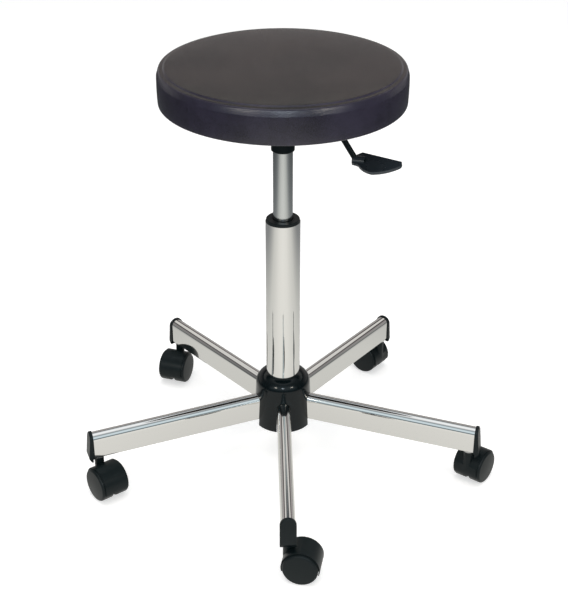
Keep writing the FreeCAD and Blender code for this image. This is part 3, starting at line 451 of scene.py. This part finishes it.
def plywood_finish():
    material, tree, shader = new_finish("stained_plywood", (0.03, 0.025, 0.022), 0.62)
    grain = add(tree, "ShaderNodeTexNoise", Vector=stretched(tree, (14.0, 190.0, 60.0)), Scale=1.0, Detail=6.0,
                Distortion=0.4)
    face = mix_colour(tree, spread(tree, grain.outputs["Fac"], 0.3, 0.7, 0.0, 1.0), (0.014, 0.011, 0.010),
                      (0.05, 0.038, 0.030))
    tree.links.new(face, shader.inputs["Base Color"])
    bump(tree, shader, grain.outputs["Fac"], 0.00008)
    return material


def rubber_finish(name, colour, roughness):
    material, tree, shader = new_finish(name, colour, roughness)
    noise = add(tree, "ShaderNodeTexNoise", Vector=object_place(tree), Scale=300.0, Detail=4.0)
    shade = mix_colour(tree, noise.outputs["Fac"], [part * 0.8 for part in colour], [part * 1.3 for part in colour])
    tree.links.new(shade, shader.inputs["Base Color"])
    bump(tree, shader, noise.outputs["Fac"], 0.00005)
    return material


def make_finishes(look):
    for build in (smudge_group, grain_group, dust_group, wear_group, brushed_group):
        build()
    black = list(look.black)
    return {
        "chrome": chrome_finish(look),
        "satin_tube": satin_finish(look),
        "gloss_black": moulded_finish("gloss_shroud", list(look.gloss), 0.09, 0.17, 0.0012, dust=0.01,
                                      shine=0.28),
        "black_moulding": moulded_finish("black_caps", black, 0.36, 0.48, 0.0008),
        # The paddle's finish, whose colour is a painted bluish sheen that also lifts it out of the seat's shade.
        "black_paddle_painted_sheen": moulded_finish("black_paddle_painted_sheen", list(look.paddle), 0.22, 0.32, 0.0008, shine=0.5),
        "black_caster": moulded_finish("black_hoods", black, 0.30, 0.42, 0.0008),
        "black_wheel": moulded_finish("black_wheels", black, 0.34, 0.46, 0.0007),
        "black_steel": painted_finish(look),
        "plain_steel": machined_finish("plain_steel", (0.50, 0.50, 0.50), 0.32),
        "brass_cage": machined_finish("brass", (0.68, 0.50, 0.22), 0.30),
        "rubber": rubber_finish("black_rubber", (0.02, 0.02, 0.02), 0.8),
        "nylon": rubber_finish("natural_nylon", (0.62, 0.60, 0.54), 0.5),
        "plywood": plywood_finish(),
        "vinyl": seat_finish(look),
    }


def finish_of(slot):
    return bpy.data.materials[FINISH_NAMES[slot]]


# ---- mesh helpers, in metres


def round_points(bm, verts, radii, steps=5):
    """Rounds the corners of a flat outline. A radius of None leaves its corner sharp."""
    for vert, radius in zip(verts, radii):
        if radius:
            bmesh.ops.bevel(bm, geom=[vert], offset=radius, offset_type="OFFSET", segments=steps, profile=0.5,
                            affect="VERTICES", material=-1)


def turned(bm, outline, radii=(), steps=96):
    """Turns a closed outline of (radius, height) round Z into a closed solid."""
    start = len(bm.verts)
    verts = [bm.verts.new((radius, 0, height)) for radius, height in outline]
    face = bm.faces.new(verts)
    round_points(bm, verts, list(radii) + [None] * (len(verts) - len(radii)))
    bm.verts.ensure_lookup_table()
    rim = [edge for edge in {edge for vert in bm.verts[start:] for edge in vert.link_edges}]
    faces = [face for face in bm.faces if all(edge in rim for edge in face.edges)]
    bmesh.ops.delete(bm, geom=faces, context="FACES_ONLY")
    on_axis = [edge for edge in rim if edge.is_valid and all(vert.co.x < 1e-7 for vert in edge.verts)]
    bmesh.ops.delete(bm, geom=on_axis, context="EDGES")
    bm.verts.ensure_lookup_table()
    points = list(bm.verts[start:])
    rim = list({edge for vert in points for edge in vert.link_edges})
    bmesh.ops.spin(bm, geom=points + rim, cent=(0, 0, 0), axis=(0, 0, 1), angle=math.tau, steps=steps,
                   use_merge=True)
    bm.verts.ensure_lookup_table()
    bmesh.ops.remove_doubles(bm, verts=list(bm.verts[start:]), dist=1e-7)


def finish_piece(bm, name, body, slot, nodes=(), matrix=None, crease=math.radians(38)):
    """Makes the mesh an object of the stool, shaded smooth between its sharp edges."""
    bmesh.ops.recalc_face_normals(bm, faces=bm.faces)
    if matrix is not None:
        bmesh.ops.transform(bm, matrix=matrix, verts=bm.verts)
    for face in bm.faces:
        face.smooth = True
    for edge in bm.edges:
        edge.smooth = len(edge.link_faces) != 2 or edge.calc_face_angle(0) < crease
    mesh = bpy.data.meshes.new(name)
    bm.to_mesh(mesh)
    bm.free()
    mesh.materials.append(finish_of(slot))
    piece = bpy.data.objects.new(name, mesh)
    bpy.context.collection.objects.link(piece)
    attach(piece, body)
    if nodes:
        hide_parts(*nodes)
    return piece


def softened_copy(node, name, body, slot, width):
    """A CAD node's own shape, merged into one mesh, with its sharp edges rounded."""
    bm = bmesh.new()
    bm.from_mesh(frame["nodes"][node].data)
    bmesh.ops.remove_doubles(bm, verts=bm.verts, dist=2e-6)
    bmesh.ops.dissolve_limit(bm, angle_limit=math.radians(0.6), verts=bm.verts, edges=bm.edges)
    piece = finish_piece(bm, name, body, slot, [node])
    bevel = piece.modifiers.new("soft_edges", "BEVEL")
    bevel.width = width
    bevel.segments = 2
    bevel.limit_method = "ANGLE"
    bevel.angle_limit = math.radians(40)
    bevel.harden_normals = False
    bevel.use_clamp_overlap = True
    return piece


def placed(place, *turns):
    """A matrix that turns about X, Y or Z in the given order, outermost first, then moves to place."""
    matrix = Matrix.Translation(place)
    for axis, angle in turns:
        matrix = matrix @ Matrix.Rotation(angle, 4, axis)
    return matrix


def wheel_place(number, side):
    joint = JOINTS["wheel_spin_%d%s" % (number, side)]
    axis = Vector(joint["axis"])
    return Vector(joint["pos_m"]), math.atan2(-axis.x, axis.y)


# ---- operators, one for each piece or group of like pieces


class STOOL_OT_stage(bpy.types.Operator):
    """Camera, floor, lamps and the pale room round the stool"""
    bl_idname = "stool.stage"
    bl_label = "Stage"

    def execute(self, context):
        make_camera(context.scene)
        make_world(context.scene)
        make_floor()
        make_lamps()
        make_room()
        context.scene.view_settings.view_transform = "Standard"
        return {"FINISHED"}


class STOOL_OT_finishes(bpy.types.Operator):
    """The procedural finishes, on every node of the frame"""
    bl_idname = "stool.finishes"
    bl_label = "Finishes"

    def execute(self, context):
        finishes = make_finishes(context.scene.stool_finish)
        slots = {part["node"]: part["material_slot"] for part in frame["record"]["subparts"]}
        for node, item in frame["nodes"].items():
            item.material_slots[0].material = finishes[slots[node]]
        return {"FINISHED"}


class STOOL_OT_seat(bpy.types.Operator):
    """The moulded seat pad with its crown, its rolled edge and its drawn-in side"""
    bl_idname = "stool.seat"
    bl_label = "Seat pad"

    def execute(self, context):
        sizes = context.scene.stool_sizes
        low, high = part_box("seat_cushion")
        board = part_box("seat_board")
        board_radius = box_size("seat_board").x / 2
        bottom, top, ledge = low[2], high[2], board[1][2]
        outer = sizes.seat_radius
        rim = top - sizes.seat_crown
        flat, dip = 55 * MM, 136 * MM
        sunk = rim + 1.1 * MM
        draft = 1.1 * MM
        outline = [(0, ledge), (board_radius, ledge), (board_radius, bottom), (outer - draft, bottom),
                   (outer, (bottom + rim) / 2)]
        rounds = [None, None, 1.0 * MM, 2.0 * MM, 14.0 * MM]
        for inward, above, rounding in SEAT_EDGE:
            outline.append((outer - inward * MM, rim + above * MM))
            rounds.append(rounding * MM)
        crown_steps = 8
        for step in range(crown_steps + 1):
            share = 1 - step / crown_steps
            outline.append((flat + (dip - flat) * share, top - (top - sunk) * share ** 2))
            rounds.append(5 * MM if step == 0 else None)
        outline += [(flat / 2, top), (0, top)]
        bm = bmesh.new()
        turned(bm, outline, rounds, steps=160)
        pad = finish_piece(bm, "seat_pad", "lift", "vinyl", ["seat_cushion"], crease=math.radians(60))
        return {"FINISHED"}


class STOOL_OT_end_caps(bpy.types.Operator):
    """The moulded caps that close the legs"""
    bl_idname = "stool.end_caps"
    bl_label = "Leg end caps"

    def execute(self, context):
        for number in CORNERS:
            softened_copy("leg_end_cap_%d" % number, "end_cap_%d" % number, "base", "black_moulding",
                          context.scene.stool_sizes.moulding_edge)
        return {"FINISHED"}


class STOOL_OT_hoods(bpy.types.Operator):
    """The casters' hoods"""
    bl_idname = "stool.hoods"
    bl_label = "Caster hoods"

    def execute(self, context):
        for number in CORNERS:
            softened_copy("caster_hood_%d" % number, "hood_%d" % number, "caster_%d" % number, "black_caster",
                          context.scene.stool_sizes.moulding_edge)
        return {"FINISHED"}


class STOOL_OT_wheels(bpy.types.Operator):
    """The casters' wheels, two to a hood"""
    bl_idname = "stool.wheels"
    bl_label = "Caster wheels"

    def execute(self, context):
        edge = context.scene.stool_sizes.wheel_edge
        radius, bore = 25 * MM, 4.05 * MM
        # along the axle, from the hood's middle: inner face, bore's blind end, tread's outer end, middle of the disc
        inner, blind, shoulder, crown = 4.0 * MM, 18.0 * MM, 22.2 * MM, 23.7 * MM
        outline = [(bore, inner), (radius, inner), (radius, shoulder), (radius * 0.8, shoulder + 0.5 * MM),
                   (radius * 0.4, crown - 0.3 * MM), (0, crown), (0, blind), (bore, blind)]
        rounds = [0.4 * MM, 0.8 * MM, edge, 2.0 * MM, 4.0 * MM, None, None, None]
        for number in CORNERS:
            for side, turn in zip(SIDES, (90, -90)):
                place, heading = wheel_place(number, side)
                bm = bmesh.new()
                turned(bm, outline, rounds, steps=context.scene.stool_sizes.round_steps)
                finish_piece(bm, "caster_wheel_%d%s" % (number, side), "wheel_%d%s" % (number, side), "black_wheel",
                             ["wheel_%d%s" % (number, side)],
                             placed(place, ("Z", heading), ("X", math.radians(turn))), math.radians(50))
        return {"FINISHED"}


class STOOL_OT_paddle(bpy.types.Operator):
    """The moulded paddle on the release lever"""
    bl_idname = "stool.paddle"
    bl_label = "Lever paddle"

    def execute(self, context):
        paddle = softened_copy("lever_paddle", "paddle", "lever", "black_moulding", 0.7 * MM)
        # The paddle takes its own finish, with the painted bluish sheen in its colour.
        paddle.data.materials[0] = bpy.data.materials["black_paddle_painted_sheen"]
        return {"FINISHED"}


class STOOL_PT_panel(bpy.types.Panel):
    bl_idname = "STOOL_PT_panel"
    bl_label = "Machinist stool"
    bl_space_type = "VIEW_3D"
    bl_region_type = "UI"
    bl_category = "Stool"

    def draw(self, context):
        layout = self.layout
        for group in (context.scene.stool_sizes, context.scene.stool_finish):
            for name in group.__annotations__:
                layout.prop(group, name)
        for step in STEPS:
            layout.operator(step.bl_idname)


# ---- stage


def make_camera(scene):
    data = bpy.data.cameras.new("photo_camera")
    data.sensor_width = CAMERA_SENSOR
    data.lens = CAMERA_LENS
    camera = bpy.data.objects.new("photo_camera", data)
    camera.location = CAMERA_PLACE
    camera.rotation_euler = (CAMERA_TILT, 0.0, CAMERA_TURN)
    scene.collection.objects.link(camera)
    scene.camera = camera


def make_world(scene):
    world = bpy.data.worlds.new("pale_room")
    world.use_nodes = True
    tree = world.node_tree
    tree.nodes.clear()
    path = tree.nodes.new("ShaderNodeLightPath")
    seen = maths(tree, "MAXIMUM", path.outputs["Is Camera Ray"], path.outputs["Is Glossy Ray"])
    seen = maths(tree, "MAXIMUM", seen, path.outputs["Is Transmission Ray"])
    plain = add(tree, "ShaderNodeBackground", Color=(1, 1, 1, 1), Strength=1.0)
    soft = add(tree, "ShaderNodeBackground", Color=(0.96, 0.98, 1, 1), Strength=0.38)
    mix = tree.nodes.new("ShaderNodeMixShader")
    tree.links.new(seen, mix.inputs[0])
    tree.links.new(soft.outputs[0], mix.inputs[1])
    tree.links.new(plain.outputs[0], mix.inputs[2])
    out = tree.nodes.new("ShaderNodeOutputWorld")
    tree.links.new(mix.outputs[0], out.inputs["Surface"])
    scene.world = world


def stage_object(name, bm, material):
    mesh = bpy.data.meshes.new(name)
    bm.to_mesh(mesh)
    bm.free()
    mesh.materials.append(material)
    item = bpy.data.objects.new(name, mesh)
    bpy.context.collection.objects.link(item)
    return item


def make_floor():
    """Pale paper. In the plating it is brightest in front of the stool and fades outwards, as a lit sheet does."""
    material, tree, shader = new_finish("pale_floor", (0.86, 0.86, 0.86), 0.9)
    shader.inputs["Specular IOR Level"].default_value = 0.0
    path = tree.nodes.new("ShaderNodeLightPath")
    shader.inputs["Emission Color"].default_value = (1, 1, 1, 1)
    tree.links.new(maths(tree, "MULTIPLY", path.outputs["Is Camera Ray"], 0.5), shader.inputs["Emission Strength"])
    place = add(tree, "ShaderNodeMapping")
    place.inputs["Location"].default_value = (0, PAPER_AHEAD, 0)
    place.inputs["Scale"].default_value = (1.5, 1, 1)
    tree.links.new(object_place(tree), place.inputs["Vector"])
    away = tree.nodes.new("ShaderNodeVectorMath")
    away.operation = "LENGTH"
    tree.links.new(place.outputs["Vector"], away.inputs[0])
    ramp = shade_ramp(tree, maths(tree, "DIVIDE", away.outputs["Value"], PAPER_REACH), PAPER_SHADES)
    near = tree.nodes.new("ShaderNodeVectorMath")
    near.operation = "LENGTH"
    tree.links.new(object_place(tree), near.inputs[0])
    shaded = spread(tree, near.outputs["Value"], *HUB_SHADE, HUB_SHADE_LEFT, 1.0)
    paper = add(tree, "ShaderNodeEmission", Color=ramp, Strength=shaded)
    mix = tree.nodes.new("ShaderNodeMixShader")
    tree.links.new(path.outputs["Is Glossy Ray"], mix.inputs[0])
    tree.links.new(shader.outputs[0], mix.inputs[1])
    tree.links.new(paper.outputs[0], mix.inputs[2])
    tree.links.new(mix.outputs[0], tree.nodes["Material Output"].inputs["Surface"])
    bm = bmesh.new()
    bmesh.ops.create_circle(bm, cap_ends=True, cap_tris=False, segments=96, radius=FLOOR_RADIUS)
    stage_object("floor", bm, material)


def make_room():
    """The studio round the paper, seen only in glossy surfaces: walls that are lit and dark in bands."""
    material = bpy.data.materials.new("dim_studio")
    material.use_nodes = True
    tree = material.node_tree
    tree.nodes.clear()
    split = tree.nodes.new("ShaderNodeSeparateXYZ")
    tree.links.new(object_place(tree), split.inputs[0])
    height = maths(tree, "DIVIDE", split.outputs["Z"], ROOM_RADIUS)
    back = shade_ramp(tree, height, BACK_SHADES)
    front = shade_ramp(tree, height, FRONT_SHADES)
    aside = shade_ramp(tree, height, ASIDE_SHADES)
    colour = mix_colour(tree, spread(tree, split.outputs["Y"], *FRONT_WALL, 0.0, 1.0), aside, front)
    colour = mix_colour(tree, spread(tree, split.outputs["Y"], *BACK_WALL, 0.0, 1.0), colour, back)
    overhead = spread(tree, height, *CEILING, 1.0, CEILING_STRENGTH)
    light = add(tree, "ShaderNodeEmission", Color=colour, Strength=overhead)
    out = tree.nodes.new("ShaderNodeOutputMaterial")
    tree.links.new(light.outputs[0], out.inputs["Surface"])
    bm = bmesh.new()
    bmesh.ops.create_uvsphere(bm, u_segments=48, v_segments=32, radius=ROOM_RADIUS)
    bmesh.ops.bisect_plane(bm, geom=bm.verts[:] + bm.edges[:] + bm.faces[:], plane_co=(0, 0, 0.01),
                           plane_no=(0, 0, 1), clear_inner=True)
    bmesh.ops.reverse_faces(bm, faces=bm.faces)
    room = stage_object("studio_room", bm, material)
    room.visible_camera = False
    room.visible_diffuse = False
    room.visible_shadow = False


def add_lamp(name, place, size, power, colour, mirrored=True):
    data = bpy.data.lights.new(name, "AREA")
    data.shape = "RECTANGLE"
    data.size, data.size_y = size
    data.energy = power
    data.color = colour
    lamp = bpy.data.objects.new(name, data)
    lamp.visible_glossy = mirrored
    lamp.location = place
    lamp.rotation_euler = (Vector(LAMP_AIM) - Vector(place)).to_track_quat("-Z", "Y").to_euler()
    bpy.context.collection.objects.link(lamp)


def make_lamps():
    add_lamp("overhead", (0.0, -0.2, 3.2), (2.6, 2.6), 52.0, (1.0, 0.97, 0.93), mirrored=False)
    for name, place, colour in (("front", (0.0, -2.9, 1.85), (0.80, 0.90, 1.0)),
                                ("front_left", (-1.6, -2.45, 1.85), WARM), ("front_right", (1.85, -2.2, 1.85), WARM)):
        add_lamp(name, place, SOFT_BOX, 14.0, colour)


STEPS = (STOOL_OT_stage, STOOL_OT_finishes, STOOL_OT_seat, STOOL_OT_end_caps, STOOL_OT_hoods,
         STOOL_OT_wheels, STOOL_OT_paddle)
CLASSES = (StoolSizes, StoolFinish) + STEPS + (STOOL_PT_panel,)


def register():
    for item in CLASSES:
        bpy.utils.register_class(item)
    bpy.types.Scene.stool_sizes = PointerProperty(type=StoolSizes)
    bpy.types.Scene.stool_finish = PointerProperty(type=StoolFinish)


def unregister():
    del bpy.types.Scene.stool_finish
    del bpy.types.Scene.stool_sizes
    for item in reversed(CLASSES):
        bpy.utils.unregister_class(item)


def main():
    register()
    for step in STEPS:
        space, name = step.bl_idname.split(".")
        getattr(getattr(bpy.ops, space), name)()


if __name__ == "__main__":
    main()
